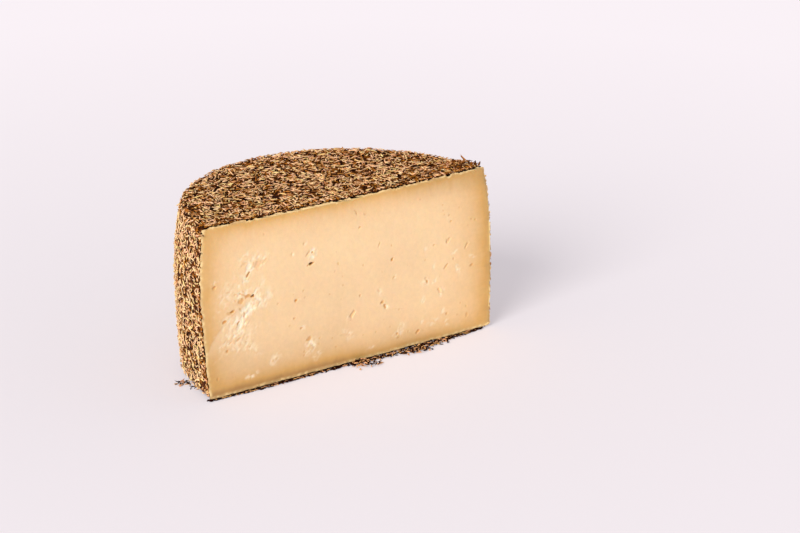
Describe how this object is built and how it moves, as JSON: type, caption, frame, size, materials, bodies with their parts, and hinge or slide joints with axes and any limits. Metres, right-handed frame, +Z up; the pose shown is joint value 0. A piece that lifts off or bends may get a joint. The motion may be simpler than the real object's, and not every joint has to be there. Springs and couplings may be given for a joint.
{
  "type": "half wheel of herb-coated cheese",
  "caption": "Half of a thick round cheese with a flat cut face, coated in dried herb needles over its top, side and underside; rests on its flat base.",
  "frame": {"origin": "on the ground under the middle of the box around the half wheel", "axes": "+Z up; X along the cut; the cut face looks along -Y and the round side is towards +Y"},
  "size_m": [0.2048, 0.103, 0.1036],
  "materials": {
    "cheese": "moist cream-coloured pressed cheese",
    "herb_coat": "dry brown and olive herb needles"
  },
  "bodies": {
    "root": {"cheese": "cheese", "herb_coat": "herb_coat"}
  },
  "joints": []
}
